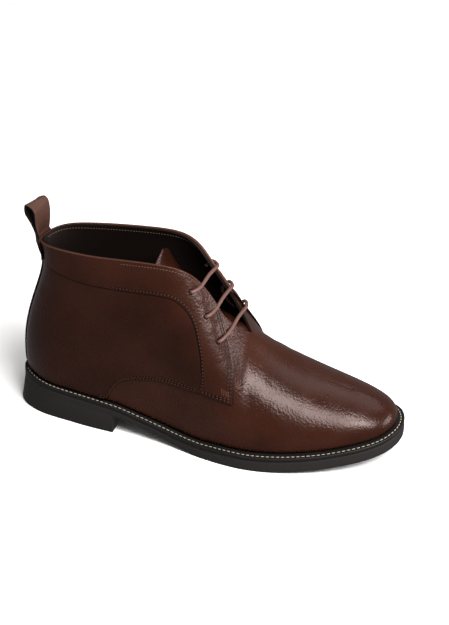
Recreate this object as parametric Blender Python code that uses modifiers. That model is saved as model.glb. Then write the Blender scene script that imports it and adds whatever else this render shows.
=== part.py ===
"""A chukka boot for the right foot: leather upper with three pairs of eyelets, welted rubber sole and heel.

Metres, +X to the toe, +Y to the inner side of the foot, +Z up. The origin is the middle of the heel's floor face.
The upper's outside is one function of two numbers: v runs round the foot from the back seam (0) along the outer
side to the toe (TOE) and back along the inner side, and t runs up from the sole (0) to the top line (1).
"""
import math

import bmesh
import bpy
import numpy as np
from mathutils import Vector

# Driving dimensions
LENGTH = 0.2995            # sole, heel to toe
BALL_WIDTH = 0.104         # sole, across the ball of the foot
COLLAR_HEIGHT = 0.139      # floor to the top line at the back seam
SEAT_LIFT = 0.020          # heel block's height at the back
TOE_SPRING = 0.0141        # how far the toe stands off the floor
SOLE_THICKNESS = 0.0121    # outsole and welt under the forefoot
WELT_THICKNESS = 0.003
HEEL_LENGTH = 0.0855       # back of the heel to its breast
HEEL_FLARE = 0.0031        # how far the heel's back runs out towards the floor
WELT_SHOW_HEEL = 0.0038    # welt left showing outside the upper
WELT_SHOW_TOE = 0.0055
WALL = 0.0018              # shell: leather and lining
QUARTER_LEATHER = 0.0008
FACING_LEATHER = 0.0010
TONGUE_LEATHER = 0.0018
TONGUE_WIDTH = 0.044
INSOLE_THICKNESS = 0.0045
PIPING_WIDTH = 0.0085      # padded strip over the back seam
PIPING_HEIGHT = 0.0024
STRAP_WIDTH = 0.0200
STRAP_LEATHER = 0.0010
LOOP_HEIGHT = 0.030        # pull loop above the collar
LOOP_OPENING = 0.0070      # finger gap between its legs
LOOP_TWIST = math.radians(22)
EYELET_RADIUS = 0.0021
LACE_RADIUS = 0.00135
LACE_CLEARANCE = 0.0007     # from the lace to the leather it passes
GAP = 0.0003               # between pieces that touch
LEATHER_GAP = 0.00065      # between the shell and the leather over it


def columns(names, rows):
    """A short table as one array for each named column."""
    return dict(zip(names.split(), np.array(rows, dtype=float).T))


# The sole's edge in plan, a row for each rib: shares of LENGTH, then of BALL_WIDTH
EDGE = columns("along out in", [
    (0.008, 0.000, 0.000), (0.019, 0.108, 0.107), (0.050, 0.199, 0.196), (0.102, 0.281, 0.281),
    (0.179, 0.322, 0.303), (0.272, 0.348, 0.285), (0.366, 0.371, 0.271), (0.452, 0.414, 0.292),
    (0.539, 0.477, 0.352), (0.633, 0.516, 0.438), (0.720, 0.499, 0.484), (0.803, 0.441, 0.478),
    (0.877, 0.366, 0.428), (0.940, 0.270, 0.340), (0.983, 0.142, 0.220), (1.000, -0.035, 0.035)])

# The top line over the same ribs: collar, throat and then the ridge of the vamp.
# Shares of LENGTH, BALL_WIDTH, COLLAR_HEIGHT and BALL_WIDTH
TOP = columns("along half up centre", [
    (0.071, 0.000, 0.995, 0.000), (0.083, 0.090, 1.008, 0.000), (0.115, 0.169, 1.021, 0.000),
    (0.167, 0.216, 1.026, 0.000), (0.239, 0.245, 1.032, 0.000), (0.322, 0.253, 1.041, 0.000),
    (0.402, 0.243, 1.040, 0.000), (0.462, 0.186, 0.996, 0.000), (0.515, 0.136, 0.872, 0.000),
    (0.585, 0.130, 0.664, 0.010), (0.663, 0.000, 0.518, 0.030), (0.736, 0.000, 0.427, 0.040),
    (0.793, 0.000, 0.384, 0.040), (0.833, 0.000, 0.363, 0.040), (0.860, 0.000, 0.349, 0.035),
    (0.870, 0.000, 0.345, 0.030)])

# The side walls between them: where the lower handle stands (share of the rib's height) and how far it swells
# beyond the sole's line (shares of BALL_WIDTH), then the upper handle's offset from the top line
SIDE = columns("rise swell_out swell_in", [
    (0.50, 0.049, 0.049), (0.50, 0.055, 0.055), (0.47, 0.057, 0.054), (0.40, 0.047, 0.037),
    (0.36, 0.039, 0.015), (0.34, 0.038, -0.005), (0.34, 0.036, -0.015), (0.32, 0.036, -0.005),
    (0.30, 0.034, 0.018), (0.34, 0.028, 0.030), (0.40, 0.025, 0.030), (0.50, 0.020, 0.025),
    (0.56, 0.020, 0.020), (0.58, 0.020, 0.020), (0.58, 0.020, 0.020), (0.58, 0.020, 0.020)])
HANDLE = columns("along side down", [
    (0.114, 0.000, 0.200), (0.100, 0.000, 0.200), (0.068, 0.010, 0.216), (0.029, 0.030, 0.248),
    (0.005, 0.050, 0.277), (0.000, 0.070, 0.280), (0.000, 0.110, 0.250), (-0.050, 0.180, 0.140),
    (-0.100, 0.240, 0.030), (-0.050, 0.260, 0.020), (0.000, 0.270, 0.015), (0.040, 0.250, 0.010),
    (0.080, 0.190, 0.012), (0.130, 0.120, 0.016), (0.165, 0.050, 0.020), (0.175, 0.000, 0.021)])

# The sole from the side: underside as shares of SEAT_LIFT and TOE_SPRING, thickness as a share of SOLE_THICKNESS
SOLE = columns("along lift spring thick", [
    (0.000, 1.000, 0.00, 0.670), (0.140, 0.920, 0.00, 0.685), (0.285, 0.735, 0.00, 0.700),
    (0.360, 0.490, 0.00, 0.700), (0.420, 0.280, 0.00, 0.735), (0.475, 0.110, 0.00, 0.810),
    (0.530, 0.000, 0.00, 0.926), (0.625, 0.000, 0.00, 1.000), (0.720, 0.000, 0.085, 1.000),
    (0.810, 0.000, 0.255, 1.000), (0.870, 0.000, 0.454, 1.000), (0.940, 0.000, 0.723, 1.000),
    (1.000, 0.000, 1.000, 1.000)])

# The collar and facing piece in the upper's own numbers: its seam with the quarter, and its free edge
FACING = columns("seam_v seam_t edge_v edge_t", [
    (0.00, 0.805, 0.00, 1.000), (1.00, 0.805, 1.00, 1.000), (2.00, 0.810, 2.00, 1.000),
    (3.20, 0.810, 3.20, 1.000), (4.60, 0.808, 4.60, 1.000), (5.80, 0.808, 5.80, 1.000),
    (6.60, 0.796, 6.60, 1.000), (7.20, 0.770, 7.30, 1.000), (7.65, 0.744, 7.80, 1.000),
    (7.96, 0.698, 8.16, 1.000), (8.12, 0.620, 8.42, 0.990), (8.18, 0.540, 8.72, 0.905),
    (8.17, 0.470, 8.95, 0.780), (8.10, 0.400, 9.05, 0.590), (8.00, 0.345, 8.95, 0.372)])

# The quarter's leather between the sole or the vamp and that seam
QUARTER = columns("low_v low_t high_v high_t", [
    (0.20, 0.006, 0.20, 0.795), (0.75, 0.006, 0.90, 0.798), (1.40, 0.006, 1.90, 0.803),
    (2.40, 0.006, 3.10, 0.803), (3.60, 0.006, 4.30, 0.801), (4.60, 0.008, 5.30, 0.801),
    (4.95, 0.030, 6.00, 0.799), (5.07, 0.100, 6.60, 0.788), (5.33, 0.191, 7.10, 0.767),
    (5.90, 0.252, 7.56, 0.740), (6.60, 0.291, 7.90, 0.690), (7.30, 0.308, 8.07, 0.600),
    (7.96, 0.332, 8.08, 0.430)])

# Eyelets, from the collar down, and where each lace bar leaves the facing, in the upper's own numbers
EYELETS = columns("v t edge_v edge_t", [
    (7.54, 0.884, 7.80, 0.990), (8.25, 0.834, 8.40, 0.970), (8.67, 0.752, 8.90, 0.960)])

# The tongue's middle line, from under the vamp up to its tip: shares of LENGTH and COLLAR_HEIGHT, the share of its
# width that it has there, and how far its sides fall (share of the width)
TONGUE = columns("along up width fall", [
    (0.670, 0.484, 0.80, 0.20), (0.625, 0.556, 0.84, 0.24), (0.590, 0.618, 0.88, 0.26), (0.555, 0.655, 0.92, 0.24),
    (0.520, 0.680, 0.95, 0.20), (0.482, 0.715, 0.98, 0.17), (0.446, 0.785, 1.00, 0.15), (0.416, 0.875, 1.00, 0.13),
    (0.396, 0.965, 0.92, 0.11), (0.387, 1.035, 0.20, 0.02)])

# The pull loop's inner face above the collar, front leg first: shares of LOOP_OPENING and of its height, then of
# its twist and of the collar's own curve that it keeps
STRAP = columns("forward up turned bow", [
    (-0.40, 0.10, 0.00, 1.00), (-0.29, 0.20, 0.20, 0.70), (-0.16, 0.32, 0.34, 0.40), (-0.03, 0.47, 0.47, 0.12),
    (0.04, 0.64, 0.52, 0.00), (0.00, 0.80, 0.48, 0.00), (-0.15, 0.92, 0.60, 0.00), (-0.64, 1.00, 1.00, 0.00),
    (-0.99, 0.92, 0.35, 0.00), (-1.12, 0.80, 0.00, 0.00), (-0.91, 0.69, 0.00, 0.05), (-0.62, 0.52, 0.00, 0.20),
    (-0.52, 0.34, 0.00, 0.55), (-0.50, 0.16, 0.00, 0.88)])

# How far its rear leg stands off the collar at each height t: from over the front leg down onto the leather
REAR_LEG = columns("t off", [
    (0.995, 1.00), (0.965, 1.00), (0.925, 1.00), (0.880, 0.35), (0.850, 0.00), (0.815, 0.00)])

# The heel's outline on the floor, from its back round to its breast: shares of HEEL_FLARE beyond the sole's edge
HEEL = columns("place out", [
    (0.0, 1.00), (0.8, 1.02), (1.6, 0.92), (2.0, 0.70), (2.4, 0.42), (2.8, 0.10), (3.25, -0.20), (3.7, -0.24),
    (4.1, -0.10), (4.5, 0.06), (5.2, 0.12)])

RIBS = len(EDGE["along"])
TOE = RIBS - 1
ROUND = 2 * TOE
THROAT_NARROWS = 8.0       # where the throat's edges start to close
THROAT_END = 9.3           # where they meet on the ridge
HEEL_CENTRE = HEEL_LENGTH / 2
SMALL = 1e-3               # step for slopes


class Ring:
    """A smooth closed curve through one value for each rib, outer side first, then the inner side back."""

    def __init__(self, outer_side, inner_side):
        self.values = np.concatenate([outer_side, inner_side[-2:0:-1]])
        one = np.eye(len(self.values))
        around = 4 * one + np.roll(one, 1, 0) + np.roll(one, -1, 0)
        change = 3 * (np.roll(self.values, -1) - np.roll(self.values, 1))
        self.slopes = np.linalg.solve(around, change)

    def __call__(self, v):
        count = len(self.values)
        start = np.floor(v)
        s = v - start
        i = start.astype(int) % count
        j = (i + 1) % count
        return (self.values[i] * (2 * s**3 - 3 * s**2 + 1) + self.slopes[i] * (s**3 - 2 * s**2 + s)
                + self.values[j] * (3 * s**2 - 2 * s**3) + self.slopes[j] * (s**3 - s**2))


def both(column, scale):
    return Ring(column * scale, column * scale)


def mirrored(column, scale):
    return Ring(-column * scale, column * scale)


EDGE_X = both(EDGE["along"], LENGTH)
EDGE_Y = Ring(-EDGE["out"] * BALL_WIDTH, EDGE["in"] * BALL_WIDTH)
TOP_X = both(TOP["along"], LENGTH)
TOP_Z = both(TOP["up"], COLLAR_HEIGHT)
TOP_CENTRE = both(TOP["centre"], BALL_WIDTH)
TOP_HALF = mirrored(TOP["half"], BALL_WIDTH)
RISE = both(SIDE["rise"], 1)
SWELL = Ring(SIDE["swell_out"] * BALL_WIDTH, SIDE["swell_in"] * BALL_WIDTH)
HANDLE_X = both(HANDLE["along"], BALL_WIDTH)
HANDLE_Y = mirrored(HANDLE["side"], BALL_WIDTH)
HANDLE_Z = both(HANDLE["down"], COLLAR_HEIGHT)


def smooth(places, values, x):
    """A smooth curve through a short table, which never swings past its values."""
    widths = np.diff(places)
    rises = np.diff(values) / widths
    slopes = np.concatenate([rises[:1], np.zeros(len(rises) - 1), rises[-1:]])
    for k in range(1, len(rises)):
        if rises[k - 1] * rises[k] > 0:
            before = 2 * widths[k] + widths[k - 1]
            after = widths[k] + 2 * widths[k - 1]
            slopes[k] = (before + after) / (before / rises[k - 1] + after / rises[k])
    i = np.clip(np.searchsorted(places, x, side="right") - 1, 0, len(widths) - 1)
    s = np.clip((x - places[i]) / widths[i], 0, 1)
    return (values[i] * (2 * s**3 - 3 * s**2 + 1) + widths[i] * slopes[i] * (s**3 - 2 * s**2 + s)
            + values[i + 1] * (3 * s**2 - 2 * s**3) + widths[i] * slopes[i + 1] * (s**3 - s**2))


def through(rows, s):
    """A smooth curve through the rows of points, s from 0 to 1."""
    places = np.linspace(0, 1, len(rows))
    return np.stack([smooth(places, rows[:, k], s) for k in range(rows.shape[1])], -1)


def underside(x):
    """Height of the outsole's bottom at x from the back of the heel."""
    places = SOLE["along"] * LENGTH
    return smooth(places, SOLE["lift"] * SEAT_LIFT + SOLE["spring"] * TOE_SPRING, x)


def welt_top(x):
    return underside(x) + smooth(SOLE["along"] * LENGTH, SOLE["thick"] * SOLE_THICKNESS, x)


def welt_base(x):
    return welt_top(x) - WELT_THICKNESS


def outsole_top(x):
    return welt_base(x) - GAP


def show(x):
    """Width of welt outside the upper: least at the heel, most from the ball to the toe."""
    share = smooth(np.array([0.0, 0.15, 0.6, 1.0]) * LENGTH, np.array([0.0, 0.0, 1.0, 0.9]), x)
    return WELT_SHOW_HEEL + (WELT_SHOW_TOE - WELT_SHOW_HEEL) * share


def edge(v, inset=0.0):
    """Plan position on the sole's edge, moved inwards by inset, and the outward direction there."""
    place = np.stack([EDGE_X(v), EDGE_Y(v)], -1)
    run = np.stack([EDGE_X(v + SMALL) - EDGE_X(v - SMALL), EDGE_Y(v + SMALL) - EDGE_Y(v - SMALL)], -1)
    out = np.stack([run[..., 1], -run[..., 0]], -1)
    out = out / np.linalg.norm(out, axis=-1, keepdims=True)
    return place - out * np.asarray(inset)[..., None], out


def outside(v, t, lift=0.0):
    """A point of the upper's outer face, or of a face lying off it by lift."""
    v, t = np.broadcast_arrays(np.asarray(v, dtype=float), np.asarray(t, dtype=float))
    point = skin(v, t)
    if np.all(np.asarray(lift) == 0):
        return point
    low = np.clip(t - SMALL, 0, 1)
    high = np.clip(t + SMALL, 0, 1)
    across = skin(v + SMALL, t) - skin(v - SMALL, t)
    upward = skin(v, high) - skin(v, low)
    normal = np.cross(across, upward)
    normal = normal / np.linalg.norm(normal, axis=-1, keepdims=True)
    return point + normal * np.asarray(lift)[..., None]


def skin(v, t):
    """One rib of the last: a curve from the feather line, out over the side wall, to the top line."""
    plan, out = edge(v, show(EDGE_X(v)))
    foot = np.concatenate([plan, (welt_top(plan[..., 0]) + GAP)[..., None]], -1)
    near = np.minimum(np.mod(v, ROUND), ROUND - np.mod(v, ROUND))
    closing = np.clip((near - THROAT_NARROWS) / (THROAT_END - THROAT_NARROWS), 0, 1)
    half = TOP_HALF(v) * np.sqrt(1 - closing**2)
    top = np.stack([TOP_X(v), TOP_CENTRE(v) + half, TOP_Z(v)], -1)
    climb = RISE(v) * (top[..., 2] - foot[..., 2])
    lower = foot + np.concatenate([out * SWELL(v)[..., None], climb[..., None]], -1)
    upper = top + np.stack([HANDLE_X(v), HANDLE_Y(v), -HANDLE_Z(v)], -1)
    t = t[..., None]
    return (1 - t)**3 * foot + 3 * (1 - t)**2 * t * lower + 3 * (1 - t) * t**2 * upper + t**3 * top


def clear_scene():
    for item in list(bpy.data.objects):
        bpy.data.objects.remove(item, do_unlink=True)


def new_collection(name):
    group = bpy.data.collections.new(name)
    bpy.context.scene.collection.children.link(group)
    return group


def material(name, colour, roughness, coat=0.0):
    made = bpy.data.materials.new(name)
    made.use_nodes = True
    shader = made.node_tree.nodes["Principled BSDF"]
    shader.inputs["Base Color"].default_value = (*colour, 1.0)
    shader.inputs["Roughness"].default_value = roughness
    shader.inputs["Coat Weight"].default_value = coat
    made.diffuse_color = (*colour, 1.0)
    return made


def place(shape, name, group, finish):
    """Makes the bmesh an object of the boot, with its place in its mesh."""
    bmesh.ops.remove_doubles(shape, verts=shape.verts, dist=1e-6)
    bmesh.ops.dissolve_degenerate(shape, edges=shape.edges, dist=1e-6)
    bmesh.ops.translate(shape, verts=shape.verts, vec=(-HEEL_CENTRE, 0, 0))
    mesh = bpy.data.meshes.new(name)
    shape.to_mesh(mesh)
    shape.free()
    mesh.materials.append(finish)
    mesh.shade_smooth()
    mesh.set_sharp_from_angle(angle=math.radians(35))
    made = bpy.data.objects.new(name, mesh)
    group.objects.link(made)
    return made


def net(points, closed=False):
    """An open surface through a grid of points, rows by columns; closed joins the last row to the first."""
    shape = bmesh.new()
    rows, across = points.shape[:2]
    corners = [[shape.verts.new(points[i, j]) for j in range(across)] for i in range(rows)]
    for i in range(rows if closed else rows - 1):
        here = corners[i]
        beyond = corners[(i + 1) % rows]
        for j in range(across - 1):
            shape.faces.new((here[j], beyond[j], beyond[j + 1], here[j + 1]))
    return shape


def thicken(made, thickness, side):
    """Gives an open surface its wall: side 1 grows it outwards, -1 inwards."""
    wall = made.modifiers.new("wall", "SOLIDIFY")
    wall.thickness = thickness
    wall.offset = side


def side_places():
    """Where the columns of one side stand, closer together round the throat and the toe."""
    stretches = ((0, 2, 5), (2, 7, 8), (7, THROAT_NARROWS, 3), (THROAT_NARROWS, 9, 4), (9, THROAT_END, 3),
                 (THROAT_END, 10, 2), (10, TOE, 10))
    places = [0.0]
    for start, end, count in stretches:
        places += list(np.linspace(start, end, count + 1)[1:])
    return np.array(places)


def rib_places():
    """The columns right round the boot."""
    outer_side = side_places()
    return np.concatenate([outer_side, ROUND - outer_side[-2:0:-1]])


def heights(count):
    """Rows from the feather line to the top line, closest at both ends."""
    s = np.linspace(0, 1, count)
    return s - 0.35 * np.sin(2 * math.pi * s) / (2 * math.pi)


def make_upper(group, finish):
    v, t = np.meshgrid(rib_places(), heights(12), indexing="ij")
    shape = net(outside(v, t), closed=True)
    made = place(shape, "upper", group, finish)
    thicken(made, WALL, -1)
    return made


def between(low_v, low_t, high_v, high_t, along, across):
    """Points of the upper's own numbers between two of its lines."""
    low = through(np.stack([low_v, low_t], -1), along)
    high = through(np.stack([high_v, high_t], -1), along)
    return low[:, None, :] + (high - low)[:, None, :] * across[None, :, None]


def overlay(name, numbers, inner_side, thickness, group, finish):
    """A piece of leather lying on the upper, a gap off it."""
    v, t = numbers[..., 0], numbers[..., 1]
    if inner_side:
        v = ROUND - v
    points = outside(v, t, LEATHER_GAP)
    if inner_side:
        points = points[::-1]
    made = place(net(points), name, group, finish)
    thicken(made, thickness, 1)
    return made


def make_quarter(name, inner_side, group, finish):
    numbers = between(QUARTER["low_v"], QUARTER["low_t"], QUARTER["high_v"], QUARTER["high_t"],
                      np.linspace(0, 1, 26)**1.1, heights(9))
    beside_piping = (PIPING_WIDTH / 2 + 4 * GAP) / rib_step(numbers[..., 1])
    numbers[..., 0] = np.maximum(numbers[..., 0], beside_piping)
    return overlay(name, numbers, inner_side, QUARTER_LEATHER, group, finish)


def make_facing(name, inner_side, group, finish):
    start = GAP / rib_step(1.0)
    fine = np.linspace(0, 1, 400)
    reached = through(np.stack([FACING["seam_v"]], -1), fine)[:, 0]
    collar = rib_places()
    collar = collar[collar < FACING["seam_v"][6]]
    shared = np.interp(collar, reached[:200], fine[:200])
    along = np.concatenate([shared, np.linspace(shared[-1], 1, 20)[1:]])
    numbers = between(FACING["seam_v"], FACING["seam_t"], FACING["edge_v"], FACING["edge_t"],
                      along, np.linspace(0, 1, 7))
    numbers[..., 0] = np.maximum(numbers[..., 0], start)
    return overlay(name, numbers, inner_side, FACING_LEATHER, group, finish)


def rib_step(t):
    """Distance round the back of the boot for one rib's number, at height t."""
    t = np.asarray(t, dtype=float)
    beside = 0.25
    return np.linalg.norm(skin(np.full_like(t, beside), t) - skin(np.zeros_like(t), t), axis=-1) / beside


def make_back_piping(group, finish):
    """The strip over the back seam, from the sole to the collar piece."""
    t = np.linspace(0.012, QUARTER["high_t"][0], 13)[None, :]
    across = np.linspace(-1, 1, 5)[:, None]
    points = outside(across * PIPING_WIDTH / 2 / rib_step(t), t, LEATHER_GAP)
    made = place(net(points), "back_piping", group, finish)
    thicken(made, PIPING_HEIGHT, 1)
    return made


def rim_loop(v, inset, height):
    """The sole's outline at one level, as points round the boot."""
    plan, _ = edge(v, inset)
    return np.concatenate([plan, height(plan[:, 0])[:, None]], -1)


def make_welt(group, finish):
    """A closed ring: flat under the stitches, its edge eased, its inside flush with the shell's inner face."""
    v = rib_places()
    ease = WELT_THICKNESS / 6
    inner = show(EDGE_X(v)) + WALL
    section = ((ease, welt_base), (0.0, lambda x: welt_base(x) + ease), (0.0, lambda x: welt_top(x) - ease),
               (ease, welt_top), (inner, welt_top), (inner, welt_base))
    loops = [rim_loop(v, np.broadcast_to(inset, v.shape), height) for inset, height in section]
    points = np.stack(loops + loops[:1], 1)
    shape = net(points, closed=True)
    bmesh.ops.remove_doubles(shape, verts=shape.verts, dist=1e-6)
    bmesh.ops.recalc_face_normals(shape, faces=shape.faces)
    return place(shape, "welt", group, finish)


def slab(rows, levels, across):
    """A solid between the sole's two edges: rows of v, levels of (inset, height) up its side."""
    shape = bmesh.new()
    share = np.linspace(0, 1, across + 1)[None, :, None]
    grids = []
    for inset, height in levels:
        outer_side, _ = edge(rows, inset)
        inner_side, _ = edge(ROUND - rows, inset)
        plan = outer_side[:, None, :] + (inner_side - outer_side)[:, None, :] * share
        points = np.concatenate([plan, height(plan[..., 0])[..., None]], -1)
        grids.append([[shape.verts.new(p) for p in line] for line in points])
    last = len(rows) - 1
    border = [(i, 0) for i in range(last)] + [(last, j) for j in range(across)]
    border += [(i, across) for i in range(last, 0, -1)] + [(0, j) for j in range(across, 0, -1)]
    for below, above in zip(grids, grids[1:]):
        for (i, j), (k, l) in zip(border, border[1:] + border[:1]):
            shape.faces.new((below[i][j], below[k][l], above[k][l], above[i][j]))
    for i in range(last):
        for j in range(across):
            bottom, top = grids[0], grids[-1]
            shape.faces.new((bottom[i][j], bottom[i][j + 1], bottom[i + 1][j + 1], bottom[i + 1][j]))
            shape.faces.new((top[i][j], top[i + 1][j], top[i + 1][j + 1], top[i][j + 1]))
    bmesh.ops.remove_doubles(shape, verts=shape.verts, dist=1e-6)
    bmesh.ops.recalc_face_normals(shape, faces=shape.faces)
    return shape


def make_outsole(group, finish):
    ease = SOLE_THICKNESS / 14
    rows = side_places()
    levels = ((ease, underside), (0.0, lambda x: underside(x) + ease), (0.0, outsole_top))
    return place(slab(rows, levels, 2), "outsole", group, finish)


def breast_place():
    """The v at which the sole's edge reaches the heel's breast."""
    low, high = 0.0, float(TOE)
    for _ in range(40):
        middle = (low + high) / 2
        if EDGE_X(np.array([middle]))[0] < HEEL_LENGTH:
            low = middle
        else:
            high = middle
    return low


def make_heel(group, finish):
    rows = np.linspace(0, 1, 17)**1.15 * breast_place()
    inset = -HEEL_FLARE * smooth(HEEL["place"], HEEL["out"], rows)
    ease = HEEL_FLARE / 4
    levels = ((inset + ease, lambda x: 0 * x), (inset, lambda x: 0 * x + ease),
              (rows * 0, lambda x: underside(x) - GAP))
    return place(slab(rows, levels, 2), "heel", group, finish)


def make_insole(group, finish):
    """The board inside the welt and the shell, a little above the welt."""
    rows = side_places()
    inset = show(EDGE_X(rows)) + WALL + GAP
    base = lambda x: outsole_top(x) + GAP
    return place(slab(rows, ((inset, base), (inset, lambda x: base(x) + INSOLE_THICKNESS)), 2),
                 "insole", group, finish)


def make_tongue(group, finish):
    s = np.linspace(0, 1, 20)
    middle = through(np.stack([TONGUE["along"] * LENGTH, TONGUE["up"] * COLLAR_HEIGHT], -1), s)
    shape = through(np.stack([TONGUE["width"], TONGUE["fall"]], -1), s) * TONGUE_WIDTH
    run = np.gradient(middle, axis=0)
    run = run / np.linalg.norm(run, axis=1, keepdims=True)
    face = np.stack([-run[:, 1], run[:, 0]], -1)
    face = np.where(face[:, :1] < 0, -face, face)
    across = np.linspace(-1, 1, 6)
    points = np.zeros((len(s), len(across), 3))
    fall = -shape[:, 1][:, None] * across[None, :]**2
    points[..., 0] = middle[:, 0][:, None] + face[:, 0][:, None] * fall
    points[..., 1] = shape[:, 0][:, None] / 2 * across[None, :] + TOP["centre"][10] * BALL_WIDTH * (1 - s[:, None])
    points[..., 2] = middle[:, 1][:, None] + face[:, 1][:, None] * fall
    made = place(net(points[:, ::-1]), "tongue", group, finish)
    thicken(made, TONGUE_LEATHER, -1)
    return made


def make_pull_loop(group, finish):
    """A strap from behind the collar, up and over, and down over its own front leg to the collar piece's seam."""
    across = np.linspace(-1, 1, 5)
    rim = skin(np.array([0.0]), np.array([1.0]))[0]
    on_collar = LEATHER_GAP + FACING_LEATHER + 2 * GAP
    front = on_collar + STRAP_LEATHER
    rows = [leg_row(across, t, front) for t in (0.925, 0.965, 1.0)]
    collar = leg_row(across, 1.0, 0.0) - rim
    collar[:, 1] = 0
    for forward, up, turned, bow in zip(*STRAP.values()):
        angle = LOOP_TWIST * turned
        side = np.stack([np.sin(angle) * across, np.cos(angle) * across, 0 * across], -1) * STRAP_WIDTH / 2
        middle = rim + np.array([forward * LOOP_OPENING, 0, up * (LOOP_HEIGHT - STRAP_LEATHER)])
        rows.append(middle + side + collar * bow)
    for t, off in zip(*REAR_LEG.values()):
        rows.append(leg_row(across, t, on_collar + (front + GAP - on_collar) * off))
    points = smooth_rows(np.array(rows), 32)
    made = place(net(points[:, ::-1]), "pull_loop", group, finish)
    thicken(made, STRAP_LEATHER, 1)
    return made


def leg_row(across, t, lift):
    """One row of the strap where it lies on the collar."""
    v = -across * STRAP_WIDTH / 2 / rib_step(t)
    return outside(v, np.full(len(across), t), lift)


def smooth_rows(rows, count):
    """More rows on smooth curves through the given ones, evenly spaced along the middle."""
    middle = rows[:, rows.shape[1] // 2]
    run = np.concatenate([[0], np.cumsum(np.linalg.norm(np.diff(middle, axis=0), axis=1))])
    s = np.linspace(0, run[-1], count)
    flat = rows.reshape(len(rows), -1)
    made = np.stack([smooth(run, flat[:, k], s) for k in range(flat.shape[1])], -1)
    return made.reshape(count, *rows.shape[1:])


def cut_eyelets(holed, cutters):
    """Punches the holes through the shell and the facings on both sides."""
    drill_length = 0.02
    for inner_side, facing in ((False, "facing_lateral"), (True, "facing_medial")):
        for number, (v, t) in enumerate(zip(EYELETS["v"], EYELETS["t"]), 1):
            centre, axis = eyelet(v, t, inner_side)
            shape = bmesh.new()
            bmesh.ops.create_cone(shape, cap_ends=True, segments=12, radius1=EYELET_RADIUS,
                                  radius2=EYELET_RADIUS, depth=drill_length)
            turn = Vector((0, 0, 1)).rotation_difference(Vector(axis)).to_matrix()
            bmesh.ops.rotate(shape, verts=shape.verts, matrix=turn)
            bmesh.ops.translate(shape, verts=shape.verts, vec=centre)
            drill = place(shape, f"drill_{facing}_{number}", cutters, holed["upper"].data.materials[0])
            drill.hide_render = True
            drill.display_type = "WIRE"
            for target in ("upper", facing):
                cut = holed[target].modifiers.new(f"eyelet_{number}", "BOOLEAN")
                cut.operation = "DIFFERENCE"
                cut.solver = "EXACT"
                cut.object = drill


def eyelet(v, t, inner_side):
    """Centre and outward axis of one eyelet on the shell's outer face."""
    v = ROUND - v if inner_side else v
    low = outside(np.array([v]), np.array([t]))[0]
    high = outside(np.array([v]), np.array([t]), 0.001)[0]
    axis = (high - low) / np.linalg.norm(high - low)
    return low, axis


def make_lace(group, finish):
    """One cord: a bar over each pair of eyelets, joined by short runs inside the facings."""
    above = LEATHER_GAP + FACING_LEATHER + LACE_RADIUS + LACE_CLEARANCE
    inside = -(WALL + LACE_RADIUS + LACE_CLEARANCE)
    route = []
    for number in range(len(EYELETS["v"]) - 1, -1, -1):
        ends = []
        for inner_side in (False, True):
            low, axis = eyelet(EYELETS["v"][number], EYELETS["t"][number], inner_side)
            rim, rim_axis = eyelet(EYELETS["edge_v"][number], EYELETS["edge_t"][number], inner_side)
            ends.append([low + axis * inside, low, low + axis * above, rim + rim_axis * above])
        if number % 2 == 1:
            ends.reverse()
        first, second = ends
        middle = (first[-1] + second[-1]) / 2 + np.array([0.0, 0.0, LACE_RADIUS])
        route += [*first, middle, *second[::-1]]
    points = smooth_rows(np.array(route)[:, None, :], 60)[:, 0]
    curve = bpy.data.curves.new("lace", "CURVE")
    curve.dimensions = "3D"
    curve.bevel_depth = LACE_RADIUS
    curve.bevel_resolution = 1
    curve.use_fill_caps = True
    spline = curve.splines.new("POLY")
    spline.points.add(len(points) - 1)
    for target, point in zip(spline.points, points):
        target.co = (point[0] - HEEL_CENTRE, point[1], point[2], 1.0)
    curve.materials.append(finish)
    made = bpy.data.objects.new("lace", curve)
    group.objects.link(made)
    return made


def main():
    clear_scene()
    boot = new_collection("chukka_boot")
    cutters = new_collection("cutters")
    leather = material("polished_leather", (0.075, 0.024, 0.014), 0.32, 0.3)
    strap_leather = material("strap_leather", (0.09, 0.032, 0.020), 0.45)
    lining = material("lining_leather", (0.012, 0.010, 0.009), 0.7)
    rubber = material("sole_rubber", (0.014, 0.013, 0.013), 0.55)
    cord = material("waxed_cord", (0.16, 0.075, 0.055), 0.6)
    make_outsole(boot, rubber)
    make_heel(boot, rubber)
    make_welt(boot, rubber)
    make_insole(boot, lining)
    holed = {"upper": make_upper(boot, leather)}
    for side, inner_side in (("lateral", False), ("medial", True)):
        make_quarter(f"quarter_{side}", inner_side, boot, leather)
        facing = f"facing_{side}"
        holed[facing] = make_facing(facing, inner_side, boot, leather)
    make_tongue(boot, leather)
    make_back_piping(boot, lining)
    make_pull_loop(boot, strap_leather)
    cut_eyelets(holed, cutters)
    make_lace(boot, cord)


main()
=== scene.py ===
"""Looks of a chukka boot for the right foot: polished leather over a lining, on a welted rubber sole.

Metres, +X to the toe, +Y to the inner side of the foot, +Z up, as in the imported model.
The upper's outside is one function of two numbers. v runs round the foot from the back seam (0), along the
outer side to the toe (TOE) and back along the inner side. t runs up from the sole (0) to the top line (1).
"""
import math

import bmesh
import bpy
import numpy as np
from mathutils import Matrix, Vector


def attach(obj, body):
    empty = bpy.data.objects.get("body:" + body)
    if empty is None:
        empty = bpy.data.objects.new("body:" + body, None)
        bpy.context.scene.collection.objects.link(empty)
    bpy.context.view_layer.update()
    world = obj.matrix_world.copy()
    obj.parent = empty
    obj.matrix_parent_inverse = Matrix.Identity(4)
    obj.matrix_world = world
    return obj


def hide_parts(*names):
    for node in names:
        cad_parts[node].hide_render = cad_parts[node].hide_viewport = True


MM = 0.001

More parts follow.
